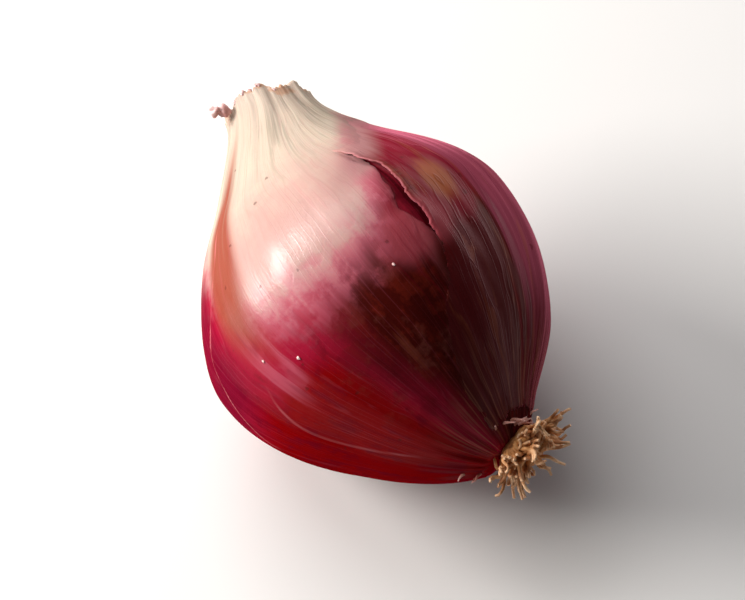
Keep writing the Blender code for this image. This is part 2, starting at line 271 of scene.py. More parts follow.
def bulbRadius(x, angle):
    b, r, s = bulbShape, bulbRelief, paperySkin
    turn = np.radians(angle)
    atNeck = fall(x, r["pleatReach"] - b["neckLength"], r["pleatReach"])
    pleats = np.sin(13 * turn + x / 6.0) + waves(turn, r["pleats"])
    atRoots = rise(x, b["rootLength"] - r["puckerReach"], r["puckerReach"])
    puckers = waves(turn, r["puckers"])
    radius = uneven(x, angle) + r["pleatHeight"] * atNeck * pleats + r["puckerHeight"] * atRoots * puckers
    onFlank = fall(wrapped(angle), 72.0, 25.0)
    begins = s["mergeTop"] + (s["mergeFlank"] - s["mergeTop"]) * onFlank
    merged = rise(x, begins, s["mergeReach"])
    flush = rise(x, s["flushFrom"], s["flushReach"])
    sunken = ease(1.0 - (outsideSkin(x, angle) - 0.15 + 1.05 * flush) / (0.5 + 0.4 * flush))
    radius = radius - s["sink"] * merged * sunken
    radius = radius - paleEdge["step"] * ease(bareGap(x, angle) / 0.7 + 0.5) * bump(paleGap(x, angle), 6.0)
    for edge in foldEdges.values():
        away = wrapped(angle - foldAngle(edge, x)) * np.radians(profileRadius(x))
        radius = radius + r["edgeHeight"] * bump(away, r["edgeWidth"]) * foldFade(edge, x)
    return radius


# Colour zones of the bulb. Each is a value on the mesh, which the material breaks up with its veins
def paleZone(x, angle):  # how far inside the pale part round the neck, in mm
    around = wrapped(angle - 115.0) / 36.5
    return -9.2 + 12.4 * np.exp(-around ** 4) - x


def neckLimit(angle):  # where the white of the neck ends: low on the top, close to the rim on the right flank
    away = wrapped(angle - 130.0)
    return 3.0 - 19.0 * np.maximum(fall(away, 0.0, 95.0), rise(away, 40.0, 60.0))


def neckZone(x, angle):
    reach = 13.0 - 5.5 * fall(wrapped(angle), 90.0, 30.0)
    return np.clip((-x - 3.0) / reach, 0.0, 1.0) * fall(x, neckLimit(angle) + 3.0, 6.0)


def neckSideZone(x, angle):  # pinkish skin between the white neck and the papery skin
    limit = neckLimit(angle)
    return (1.0 - fall(x, limit + 3.0, 6.0)) * fall(x, np.minimum(-2.0, limit + 6.5), 5.0)


def flankShadeZone(x, angle):  # painted shade: the shaded and hidden flanks are darker than the top
    return fall(wrapped(angle), 92.0, 30.0) * rise(wrapped(angle), -150.0, 40.0)


def lowShadeZone(x, angle):  # painted shade: clear deep red low on the left and along the bottom towards the roots
    turned = angle % 360.0
    low, left = rise(turned, 112.0, 30.0), rise(turned, 146.0, 22.0)
    return np.maximum(rise(x, 4.0, 6.0) * low, rise(x, -1.0, 12.0) * left) * fall(turned, 240.0, 30.0)


def farLeftShadeZone(x, angle):  # painted shade: dark magenta at the far left
    turned = angle % 360.0
    begins = -13.0 + 10.0 * rise(turned, 160.0, 60.0)
    return rise(turned, 150.0, 20.0) * fall(turned, 236.0, 40.0) * rise(x, begins, 7.0) * fall(x, 9.0, 9.0)


def rimZone(x, angle):
    return fall(x, -19.8, 2.0) * (0.35 + 0.65 * bump(wrapped(angle - 80.0), 40.0))


def rootZone(x, angle):
    return rise(x, 14.0, 6.0) * (0.12 + 0.88 * bump(wrapped(angle - 108.0), 34.0))


def loopGap(x, angle):  # signed distance to the edge of a small oval blemish, in mm
    across = wrapped(angle - 145.0) * np.radians(profileRadius(x))
    return (np.sqrt(((x - 6.4) / 1.5) ** 2 + (across / 0.9) ** 2) - 1.0) * 1.1


bulbZones = {
    "zonePale": paleZone, "zoneFlankShade": flankShadeZone, "zoneLowShade": lowShadeZone, "zoneFarLeftShade": farLeftShadeZone,
    "zoneNeck": neckZone, "zoneNeckSide": neckSideZone, "zoneRim": rimZone, "zoneRoot": rootZone,
    "gapPale": bareGap, "gapLoop": loopGap,
}
bulbSpots = {  # soft oval spots: strength, place along and round, reach in mm and in degrees
    "zonePeach": ((1.0, -7.6, 146.0, 9.6, 9.6),),
    # brown mottles on the right centre and low near the roots, partly painted shade
    "zoneBrownAndShade": ((1.0, 9.5, 92.0, 9.5, 34.0), (0.7, 21.0, 30.0, 4.0, 62.0)),
    "zoneBlush": ((1.0, 3.6, 86.0, 3.0, 10.0),),
    "zoneBlotch": ((1.0, 12.0, 98.0, 5.5, 34.0), (0.6, 17.0, 86.0, 2.6, 16.0)),
    "zoneStreak": ((1.0, 12.0, 107.0, 2.8, 3.2),),
    "zoneBand": ((1.0, 3.6, 149.0, 4.8, 10.0),),
    # grey-green streaks on the neck, partly painted shade on its right side
    "zoneGreyAndShade": ((1.0, -16.6, 57.0, 4.2, 15.0), (1.0, -16.8, 98.0, 2.6, 6.0)),
}


def spotValues(x, angle, zones):
    return {name: sum(strength * np.exp(-(((x - atX) / reach) ** 2) - (wrapped(angle - atAngle) / width) ** 2)
                      for strength, atX, atAngle, reach, width in spots) for name, spots in zones.items()}


def bulbValues(x, angle):  # what the bulb's material reads
    values = {name: zone(x, angle) for name, zone in bulbZones.items()}
    values.update(spotValues(x, angle, bulbSpots))
    for side, edge in foldEdges.items():  # the distance to each fine edge, and how strongly it shows
        turn = np.radians(angle - foldAngle(edge, x))
        values["gap" + side] = np.sin(turn) * profileRadius(x)
        values["share" + side] = foldFade(edge, x) * ease(3.0 * np.cos(turn))
    return values


def meshFrom(name, points, faces, values=None, vectors=None):  # points in mm
    mesh = bpy.data.meshes.new(name)
    mesh.from_pydata((points * mm).tolist(), [], faces)
    for key, numbers in (values or {}).items():
        data = mesh.attributes.new(key, "FLOAT", "POINT").data
        data.foreach_set("value", numbers.astype(np.float32).ravel())
    for key, rows in (vectors or {}).items():
        data = mesh.attributes.new(key, "FLOAT_VECTOR", "POINT").data
        data.foreach_set("vector", rows.astype(np.float32).ravel())
    mesh.update()
    piece = bpy.data.objects.new(name, mesh)
    bpy.context.scene.collection.objects.link(piece)
    return piece


def placeOnSkin(x, angle):  # a seamless coordinate that runs round and along the bulb
    turn = np.radians(angle)
    along = 2.0 * (x + bulbShape["neckLength"]) / (bulbShape["neckLength"] + bulbShape["rootLength"])
    return np.stack([np.cos(turn), np.sin(turn), along], -1)


def gridFaces(rows, columns, closed=True):  # quads between rows, which are rings unless they are open
    faces = []
    for i in range(rows - 1):
        for j in range(columns if closed else columns - 1):
            k = (j + 1) % columns
            faces.append((i * columns + j, i * columns + k, (i + 1) * columns + k, (i + 1) * columns + j))
    return faces


def closePoles(piece):  # merges the points of each pole and turns the faces outwards
    work = bmesh.new()
    work.from_mesh(piece.data)
    bmesh.ops.remove_doubles(work, verts=work.verts, dist=1e-6)
    bmesh.ops.recalc_face_normals(work, faces=work.faces)
    work.to_mesh(piece.data)
    work.free()
    piece.data.shade_smooth()


def faceAway(piece, face, centre):  # turns a sheet's faces so that this one looks away from the centre
    if face.normal.dot(face.center - Vector(centre) * mm) < 0.0:
        piece.data.flip_normals()


def flatten(piece):  # the evaluated piece as a plain mesh, with no modifier left
    bpy.context.view_layer.update()
    graph = bpy.context.evaluated_depsgraph_get()
    mesh = bpy.data.meshes.new_from_object(piece.evaluated_get(graph))
    piece.modifiers.clear()
    old = piece.data
    piece.data = mesh
    bpy.data.meshes.remove(old)
    mesh.name = piece.name
    return piece


# Small helpers for node trees
def addNode(tree, kind, inputs=None, **settings):
    made = tree.nodes.new(kind)
    for name, value in settings.items():
        setattr(made, name, value)
    for key, value in (inputs or {}).items():
        if isinstance(value, bpy.types.NodeSocket):
            tree.links.new(value, made.inputs[key])
        else:
            made.inputs[key].default_value = value
    return made


def calc(tree, operation, a, b=0.0, c=0.0, clamp=False):
    inputs = {0: a, 1: b, 2: c}
    return addNode(tree, "ShaderNodeMath", inputs, operation=operation, use_clamp=clamp).outputs[0]


def times(tree, a, b, clamp=False):
    return calc(tree, "MULTIPLY", a, b, clamp=clamp)


def timesPlus(tree, a, b, c):
    return calc(tree, "MULTIPLY_ADD", a, b, c)


def vectorCalc(tree, operation, a, b=(0, 0, 0)):
    return addNode(tree, "ShaderNodeVectorMath", {0: a, 1: b}, operation=operation).outputs[0]


def scaled(tree, a, amount):
    return addNode(tree, "ShaderNodeVectorMath", {0: a, "Scale": amount}, operation="SCALE").outputs[0]


def combine(tree, x, y, z):
    return addNode(tree, "ShaderNodeCombineXYZ", {0: x, 1: y, 2: z}).outputs[0]


def centred(tree, colour):  # a noise's colour as a push to all sides
    return vectorCalc(tree, "SUBTRACT", colour, (0.5, 0.5, 0.5))


def noise(tree, place, scale, detail, seed=None, rough=0.5):
    inputs = {"Vector": place, "Scale": scale, "Detail": detail, "Roughness": rough}
    if seed is None:
        return addNode(tree, "ShaderNodeTexNoise", inputs).outputs
    return addNode(tree, "ShaderNodeTexNoise", {**inputs, "W": seed}, noise_dimensions="4D").outputs


def softStep(tree, value, low, high, toLow=0.0, toHigh=1.0):
    inputs = {"Value": value, "From Min": low, "From Max": high, "To Min": toLow, "To Max": toHigh}
    return addNode(tree, "ShaderNodeMapRange", inputs, interpolation_type="SMOOTHSTEP").outputs[0]


def mixColour(tree, share, under, over):
    return addNode(tree, "ShaderNodeMix", {0: share, 6: under, 7: over}, data_type="RGBA").outputs[2]


def paint(tree, colour, layers):  # each layer is its mask, its strength and its colour
    for mask, strength, over in layers:
        share = mask if strength == 1.0 else times(tree, mask, strength)
        colour = mixColour(tree, share, colour, over)
    return colour


def rgb(r, g, b):
    return (r, g, b, 1.0)


vector, material, geometry = "NodeSocketVector", "NodeSocketMaterial", "NodeSocketGeometry"
socketTypes = {float: "NodeSocketFloat", int: "NodeSocketInt", bool: "NodeSocketBool"}


def newGroup(name, kind, inputs):  # each input has its usual value, or only its kind of socket
    tree = bpy.data.node_groups.new(name, kind)
    for label, value in inputs.items():
        socketType = value if isinstance(value, str) else socketTypes[type(value)]
        socket = tree.interface.new_socket(label, in_out="INPUT", socket_type=socketType)
        if not isinstance(value, str):
            socket.default_value = value
    return tree, tree.nodes.new("NodeGroupInput").outputs


def closeGroup(tree, results, socketType="NodeSocketFloat"):
    for label in results:
        tree.interface.new_socket(label, in_out="OUTPUT", socket_type=socketType)
    ends = tree.nodes.new("NodeGroupOutput").inputs
    for label, value in results.items():
        tree.links.new(value, ends[label])
    return tree


def veinGroup():  # lengthwise veins of the skin: fine and broad variation, and thin lines
    tree, given = newGroup("skinVeins", "ShaderNodeTree", {
        "Place": vector, "Count": 22.0, "Stretch": 1.4, "Wander": 0.25, "Seed": 0.0})
    bend = centred(tree, noise(tree, given["Place"], 2.2, 2.0)["Color"])
    push = vectorCalc(tree, "MULTIPLY", bend, combine(tree, given["Wander"], given["Wander"], 0.3))
    scale = combine(tree, given["Count"], given["Count"], given["Stretch"])
    fitted = vectorCalc(tree, "MULTIPLY", vectorCalc(tree, "ADD", given["Place"], push), scale)
    thin = noise(tree, vectorCalc(tree, "MULTIPLY", fitted, (0.8, 0.8, 0.28)), 1.0, 0.0, given["Seed"])[0]
    away = calc(tree, "ABSOLUTE", calc(tree, "SUBTRACT", thin, 0.5))
    return closeGroup(tree, {"Fine": noise(tree, fitted, 1.0, 3.0, given["Seed"])[0],
                             "Broad": noise(tree, fitted, 0.3, 2.0, given["Seed"])[0],
                             "Lines": softStep(tree, away, 0.045, 0.0)})


def blotchGroup():
    tree, given = newGroup("skinBlotches", "ShaderNodeTree", {
        "Place": vector, "Scale": 300.0, "Low": 0.45, "High": 0.6, "Seed": 0.0})
    cloud = noise(tree, given["Place"], given["Scale"], 4.0, given["Seed"], rough=0.6)[0]
    return closeGroup(tree, {"Mask": softStep(tree, cloud, given["Low"], given["High"])})


def speckGroup():  # small round specks, only some of the cells have one
    tree, given = newGroup("skinSpecks", "ShaderNodeTree", {
        "Place": vector, "Scale": 900.0, "Size": 0.25, "Share": 0.2})
    shift = scaled(tree, centred(tree, noise(tree, given["Place"], 2600.0, 1.0)["Color"]), 0.5 * mm)
    spot = vectorCalc(tree, "ADD", given["Place"], shift)
    cells = addNode(tree, "ShaderNodeTexVoronoi", {"Vector": spot, "Scale": given["Scale"]}).outputs
    draw = addNode(tree, "ShaderNodeSeparateColor", {0: cells["Color"]}).outputs[0]
    chosen = calc(tree, "LESS_THAN", draw, given["Share"])
    dot = softStep(tree, calc(tree, "DIVIDE", cells["Distance"], given["Size"]), 1.0, 0.6)
    return closeGroup(tree, {"Mask": times(tree, dot, chosen)})


groups = {"veins": veinGroup(), "blotches": blotchGroup(), "specks": speckGroup()}


def placeGroup(tree, name, place, inputs):
    return addNode(tree, "ShaderNodeGroup", {"Place": place, **inputs}, node_tree=groups[name]).outputs


def attribute(tree, name, output="Fac"):
    return addNode(tree, "ShaderNodeAttribute", attribute_name=name).outputs[output]


def zoneReader(tree, usual):  # reads a zone of the mesh and breaks up its edge with a noise
    def zone(name, amount, low, high, breakUp=usual):
        shaken = timesPlus(tree, calc(tree, "SUBTRACT", breakUp, 0.5), amount, attribute(tree, name))
        return softStep(tree, shaken, low, high)
    return zone


def newMaterial(name, fixed):
    made = bpy.data.materials.new(name)
    made.use_nodes = True
    shader = made.node_tree.nodes["Principled BSDF"]
    for label, value in fixed.items():
        shader.inputs[label].default_value = value
    return made, made.node_tree, shader


def feed(tree, shader, values):
    for socket, value in values.items():
        tree.links.new(value, shader.inputs[socket])


def easedRim(tree, level):  # dry skin shines less where it is seen from the side
    facing = addNode(tree, "ShaderNodeLayerWeight", {"Blend": 0.5}).outputs["Facing"]
    return softStep(tree, facing, 0.2, 0.55, level, 0.0)


def bumped(tree, height, strength, distance):
    inputs = {"Height": height, "Strength": strength, "Distance": distance * mm}
    return addNode(tree, "ShaderNodeBump", inputs).outputs[0]


bulbColours = {
    "magenta": rgb(0.32, 0.007, 0.030),
    "pink": rgb(0.46, 0.095, 0.140),
    "cream": rgb(0.45, 0.262, 0.232),
    "neckWhite": rgb(0.48, 0.385, 0.310),
    "peach": rgb(0.25, 0.054, 0.031),
    # painted shade at the far left
    "leftShade": rgb(0.15, 0.003, 0.018),
    "wine": rgb(0.19, 0.007, 0.018),
    # red is painted shade low on the bulb
    "red": rgb(0.25, 0.001, 0.002),
    # brown and russet: brown mottles, darkened as painted shade
    "brown": rgb(0.050, 0.004, 0.002),
    "russet": rgb(0.115, 0.010, 0.005),
    "tan": rgb(0.30, 0.095, 0.060),
    "blotch": rgb(0.17, 0.040, 0.030),
    "blush": rgb(0.36, 0.055, 0.075),
    "neckPink": rgb(0.335, 0.158, 0.158),
    "streakGrey": rgb(0.24, 0.215, 0.165),
    "rimTan": rgb(0.42, 0.22, 0.13),
    # painted shade in the crevice under the pale skin's edge
    "deepVein": rgb(0.15, 0.002, 0.012),
    "creviceShade": rgb(0.075, 0.003, 0.006),
    "edgeLight": rgb(0.72, 0.22, 0.24),
    "speckDark": rgb(0.07, 0.012, 0.012),
    "mouth": rgb(0.22, 0.12, 0.06),
    "paleShine": rgb(1.0, 0.90, 0.90),
    "deepShine": rgb(1.0, 0.28, 0.34),
}
bulbTextures = {
    "veins": {"Count": 15.0, "Stretch": 1.3, "Wander": 0.22, "Seed": 2.0},
    "hairs": {"Count": 36.0, "Stretch": 1.6, "Wander": 0.10, "Seed": 7.0},
    "mottle": {"Scale": 420.0, "Low": 0.42, "High": 0.62, "Seed": 1.0},
    "cloud": {"Scale": 130.0, "Low": 0.3, "High": 0.7, "Seed": 4.0},
    "blotches": {"Scale": 330.0, "Low": 0.50, "High": 0.66, "Seed": 11.0},
    "specks": {"Scale": 620.0, "Size": 0.15, "Share": 0.18},
}


def bulbMaterial():
    c, textures = bulbColours, bulbTextures
    fixed = {"Subsurface Weight": 0.06, "Subsurface Scale": 0.0008, "IOR": 1.5}
    made, tree, shader = newMaterial("bulbSkin", fixed)
    place = attribute(tree, "skinPlace", "Vector")
    where = addNode(tree, "ShaderNodeTexCoord").outputs["Object"]
    veins, hairs = [placeGroup(tree, "veins", place, textures[name]) for name in ("veins", "hairs")]
    mottle, cloud, blotches = [placeGroup(tree, "blotches", where, textures[name])[0]
                               for name in ("mottle", "cloud", "blotches")]
    specks = placeGroup(tree, "specks", where, textures["specks"])[0]
    zone = zoneReader(tree, veins["Broad"])

    patchy = timesPlus(tree, hairs["Fine"], 0.22, times(tree, veins["Broad"], 0.60))
    patchy = timesPlus(tree, mottle, 0.16, patchy)
    streaked = timesPlus(tree, mottle, 0.18, times(tree, veins["Fine"], 0.82))
    # brown and russet mottles, partly painted shade
    brownAndShade = mixColour(tree, softStep(tree, streaked, 0.46, 0.68), c["brown"], c["russet"])
    band = times(tree, softStep(tree, hairs["Broad"], 0.48, 0.58), zone("zoneBand", 0.5, 0.15, 0.6))
    rootTan = times(tree, softStep(tree, hairs["Fine"], 0.50, 0.62), zone("zoneRoot", 0.5, 0.2, 0.9))
    grey = times(tree, softStep(tree, hairs["Fine"], 0.53, 0.64), zone("zoneNeck", 0.3, 0.2, 1.0))
    # grey-green streaks on the neck, partly painted shade on its right side
    greyStreaksAndShade = times(tree, softStep(tree, hairs["Fine"], 0.32, 0.56), attribute(tree, "zoneGreyAndShade"), clamp=True)
    deep = softStep(tree, attribute(tree, "zonePale"), -1.0, -5.0, 0.05, 0.3)  # less on the pale part
    bareCrevice = softStep(tree, attribute(tree, "gapPale"), 0.0, 0.14)  # the redder skin under the pale one, darkened with painted shade in the crevice at its edge
    bareWithCreviceShade = mixColour(tree, softStep(tree, hairs["Fine"], 0.42, 0.60), c["wine"], c["creviceShade"])
    bareWithCreviceShade = paint(tree, bareWithCreviceShade, [(softStep(tree, veins["Fine"], 0.54, 0.66), 0.7, c["blush"])])
    layers = [
        # painted shade: wine red on the shaded and hidden flanks
        (zone("zoneFlankShade", 0.5, 0.2, 0.9), 1.0, c["wine"]),
        # painted shade: deep red low on the left and along the bottom
        (zone("zoneLowShade", 1.0, 0.15, 0.85), 1.0, c["red"]),
        (softStep(tree, streaked, 0.46, 0.66), 0.6, c["deepVein"]),
        # brown mottles, partly painted shade
        (zone("zoneBrownAndShade", 1.0, 0.16, 0.74), 0.97, brownAndShade),
        (times(tree, blotches, attribute(tree, "zoneBlotch")), 0.75, c["blotch"]),
        (zone("zoneBlush", 0.9, 0.2, 0.8), 0.85, c["blush"]),
        (zone("zoneStreak", 2.2, 0.6, 1.2, hairs["Fine"]), 0.5, c["peach"]),
        (band, 0.6, c["pink"]),
        (rootTan, 0.7, c["tan"]),
        (zone("zonePale", 11.0, -3.9, 2.0, patchy), 1.0, c["pink"]),
        (zone("zonePale", 10.0, -0.8, 4.6, patchy), 1.0, c["cream"]),
        (zone("zoneNeck", 0.7, 0.08, 0.92, patchy), 1.0, c["neckWhite"]),
        (zone("zonePeach", 0.6, 0.1, 0.65), 0.95, c["peach"]),
        # painted shade: dark magenta at the far left
        (zone("zoneFarLeftShade", 0.9, 0.1, 0.9), 0.85, c["leftShade"]),
        (zone("zoneNeckSide", 1.0, 0.1, 0.9), 1.0, c["neckPink"]),
        (grey, 0.45, c["streakGrey"]),
        (greyStreaksAndShade, 0.75, c["streakGrey"]),
        (hairs["Lines"], 0.10, c["pink"]),
        (times(tree, veins["Lines"], deep), 1.0, c["deepVein"]),
        # the redder skin under the pale one, with painted crevice shade
        (bareCrevice, 1.0, bareWithCreviceShade),
        (zone("gapLoop", 0.5, 0.3, -0.5, mottle), 0.25, c["pink"]),
    ]
    for side in foldEdges:
        away = calc(tree, "ABSOLUTE", attribute(tree, "gap" + side))
        light = times(tree, softStep(tree, away, 0.26, 0.04), attribute(tree, "share" + side))
        light = times(tree, light, softStep(tree, hairs["Broad"], 0.36, 0.62, 0.2, 1.0))
        layers.append((light, 0.42, c["edgeLight"]))
    layers += [
        (specks, 0.5, c["speckDark"]),
        (zone("zoneRim", 0.9, 0.5, 1.1, mottle), 0.8, c["rimTan"]),
        (attribute(tree, "zoneMouth"), 1.0, c["mouth"]),
    ]
    dryer = times(tree, attribute(tree, "zoneNeck"), 0.25)
    rough = calc(tree, "ADD", timesPlus(tree, cloud, 0.08, 0.29), dryer)
    level = softStep(tree, attribute(tree, "zonePale"), -5.5, 0.0, 0.09, 0.55)
    pale = softStep(tree, attribute(tree, "zonePale"), -5.0, 0.0)
    height = timesPlus(tree, hairs["Lines"], 0.12, times(tree, veins["Fine"], 0.6))
    height = timesPlus(tree, mottle, 0.22, timesPlus(tree, hairs["Fine"], 0.4, height))
    feed(tree, shader, {
        "Base Color": paint(tree, c["magenta"], layers),
        "Roughness": timesPlus(tree, hairs["Fine"], 0.10, rough),
        "Specular IOR Level": easedRim(tree, level),
        "Specular Tint": mixColour(tree, pale, c["deepShine"], c["paleShine"]),
        "Normal": bumped(tree, timesPlus(tree, bareCrevice, -1.2, height), 0.5, 0.12)})
    return made


skinColours = {
    "wine": rgb(0.19, 0.006, 0.016),
    "dark": rgb(0.055, 0.003, 0.001),
    "gold": rgb(0.33, 0.090, 0.030),
    "brown": rgb(0.12, 0.010, 0.004),
    "neckPink": rgb(0.335, 0.158, 0.158),
    "neckPale": rgb(0.46, 0.255, 0.225),
    # lip: a pale line, painted highlight on the raised lip's lit edge
    "lip": rgb(0.46, 0.14, 0.16),
    "rootTan": rgb(0.22, 0.075, 0.045),
    # mauve is a painted reflection: the sheen band along the papery skin
    "mauveReflection": rgb(0.27, 0.046, 0.080),
    "blush": rgb(0.32, 0.050, 0.065),
}
skinShine = {
    "Specular Tint": rgb(1.0, 0.46, 0.54),
    "Sheen Roughness": 0.3,
    "Sheen Tint": rgb(0.90, 0.24, 0.36),
}
skinTextures = {
    "veins": {"Count": 14.0, "Stretch": 1.6, "Wander": 0.3, "Seed": 12.0},
    "hairs": {"Count": 34.0, "Stretch": 1.8, "Wander": 0.12, "Seed": 17.0},
    "mottle": {"Scale": 240.0, "Low": 0.42, "High": 0.62, "Seed": 6.0},
    "specks": {"Scale": 520.0, "Size": 0.2, "Share": 0.15},
}


def paperyMaterial():
    c, textures = skinColours, skinTextures
    made, tree, shader = newMaterial("paperySkin", skinShine)
    place = attribute(tree, "skinPlace", "Vector")
    where = addNode(tree, "ShaderNodeTexCoord").outputs["Object"]
    veins, hairs = [placeGroup(tree, "veins", place, textures[name]) for name in ("veins", "hairs")]
    mottle = placeGroup(tree, "blotches", where, textures["mottle"])[0]
    specks = placeGroup(tree, "specks", where, textures["specks"])[0]
    zone = zoneReader(tree, veins["Broad"])

    streaky = timesPlus(tree, hairs["Fine"], 0.4, times(tree, veins["Broad"], 0.6))
    tan = times(tree, softStep(tree, hairs["Fine"], 0.52, 0.62), attribute(tree, "zoneRoot"))
    # painted highlight: a pale line along the raised lip's lit edge
    lip = times(tree, softStep(tree, attribute(tree, "fromTop"), 0.26, 0.05), attribute(tree, "lipShare"))
    layers = [
        (softStep(tree, veins["Broad"], 0.42, 0.60), 1.0, c["brown"]),
        (zone("zoneShade", 1.2, 0.35, 0.75), 0.8, c["dark"]),
        # painted reflection: mauve sheen band
        (zone("zoneMauveReflection", 0.8, 0.1, 0.8, streaky), 0.85, c["mauveReflection"]),
        (zone("zoneGold", 1.2, 0.3, 0.8, streaky), 0.9, c["gold"]),
        (softStep(tree, veins["Fine"], 0.54, 0.66), 0.25, c["gold"]),
        (hairs["Lines"], 0.2, c["dark"]),
        (zone("zoneBlush", 0.9, 0.2, 0.8), 0.8, c["blush"]),
        (zone("zoneNeckSide", 1.3, 0.1, 0.9, streaky), 1.0, c["neckPink"]),
        (zone("zoneNeck", 0.7, 0.1, 0.9, streaky), 1.0, c["neckPale"]),
        (tan, 0.7, c["rootTan"]),
        (lip, 0.4, c["lip"]),
        (specks, 0.5, c["dark"]),
    ]
    height = timesPlus(tree, hairs["Fine"], 0.5, timesPlus(tree, veins["Fine"], 0.7, hairs["Lines"]))
    feed(tree, shader, {
        "Base Color": paint(tree, c["wine"], layers),
        "Roughness": timesPlus(tree, mottle, 0.10, 0.30),
        "Sheen Weight": softStep(tree, attribute(tree, "zoneNeckSide"), 0.0, 0.8, 0.75, 0.10),
        "Specular IOR Level": easedRim(tree, 0.40),
        "Normal": bumped(tree, height, 0.24, 0.10)})
    return made


def dryMaterial(name, deep, middleTone, tip, seed):  # dry fibres: dark at the foot, paler at the tip
    made, tree, shader = newMaterial(name, {"IOR": 1.45})
    where = addNode(tree, "ShaderNodeTexCoord").outputs["Object"]
    patches = {"Scale": 650.0, "Low": 0.38, "High": 0.64, "Seed": seed}
    grains = {"Scale": 2600.0, "Low": 0.3, "High": 0.7, "Seed": seed + 1}
    patch, grain = [placeGroup(tree, "blotches", where, sizes)[0] for sizes in (patches, grains)]
    layers = [(patch, 1.0, middleTone), (zoneReader(tree, patch)("tipShare", 0.5, 0.35, 1.1), 1.0, tip),
              (grain, 0.25, deep)]
    feed(tree, shader, {
        "Base Color": paint(tree, deep, layers),
        "Roughness": timesPlus(tree, grain, 0.2, 0.55),
        "Normal": bumped(tree, grain, 0.5, 0.06)})
    return made


materials = {
    "bulb": bulbMaterial(),
    "papery": paperyMaterial(),
    "root": dryMaterial("dryRoot", rgb(0.36, 0.12, 0.03), rgb(0.80, 0.38, 0.13), rgb(0.92, 0.60, 0.36), 3.0),
    "leaf": dryMaterial("dryLeaf", rgb(0.34, 0.20, 0.11), rgb(0.60, 0.44, 0.28), rgb(0.80, 0.66, 0.48), 9.0),
    "scrap": dryMaterial("pinkScrap", rgb(0.50, 0.22, 0.20), rgb(0.78, 0.48, 0.47),
                         rgb(0.88, 0.64, 0.63), 19.0),
    "fray": dryMaterial("paleFray", rgb(0.46, 0.17, 0.12), rgb(0.62, 0.30, 0.25),
                        rgb(0.70, 0.42, 0.38), 14.0),
}
print("materials:", ", ".join(materials))


def readValue(tree, name, kind):  # a value of the mesh, in a geometry tree
    return addNode(tree, "GeometryNodeInputNamedAttribute", {"Name": name}, data_type=kind).outputs[0]


def dressAndClose(tree, given, shape):  # how both trees end
    plain = addNode(tree, "GeometryNodeRealizeInstances", {"Geometry": shape})
    inputs = {"Geometry": plain.outputs[0], "Material": given["Material"]}
    dressed = addNode(tree, "GeometryNodeSetMaterial", inputs)
    return closeGroup(tree, {"Geometry": dressed.outputs[0]}, geometry)


def reliefTree():  # fine veins and shallow dents, as real relief
    tree, given = newGroup("skinRelief", "GeometryNodeTree", {
        "Geometry": geometry, "Vein height": 0.05, "Vein count": 20.0, "Vein stretch": 1.2,
        "Dent height": 0.1, "Seed": 1.0, "Material": material})
    scale = combine(tree, given["Vein count"], given["Vein count"], given["Vein stretch"])
    place = vectorCalc(tree, "MULTIPLY", readValue(tree, "skinPlace", "FLOAT_VECTOR"), scale)
    spot = addNode(tree, "GeometryNodeInputPosition").outputs[0]
    veins = calc(tree, "SUBTRACT", noise(tree, place, 1.0, 2.0, given["Seed"])[0], 0.5)
    dents = calc(tree, "SUBTRACT", noise(tree, spot, 95.0, 1.0, given["Seed"])[0], 0.5)
    lift = timesPlus(tree, veins, given["Vein height"], times(tree, dents, given["Dent height"]))
    height = addNode(tree, "ShaderNodeSeparateXYZ", {0: spot}).outputs[2]
    onTable = softStep(tree, height, 0.0, 1.5 * mm)  # the resting spot stays flat
    offset = scaled(tree, addNode(tree, "GeometryNodeInputNormal").outputs[0], times(tree, lift, onTable))
    moved = addNode(tree, "GeometryNodeSetPosition", {"Geometry": given["Geometry"], "Offset": offset})
    return dressAndClose(tree, given, moved.outputs[0])


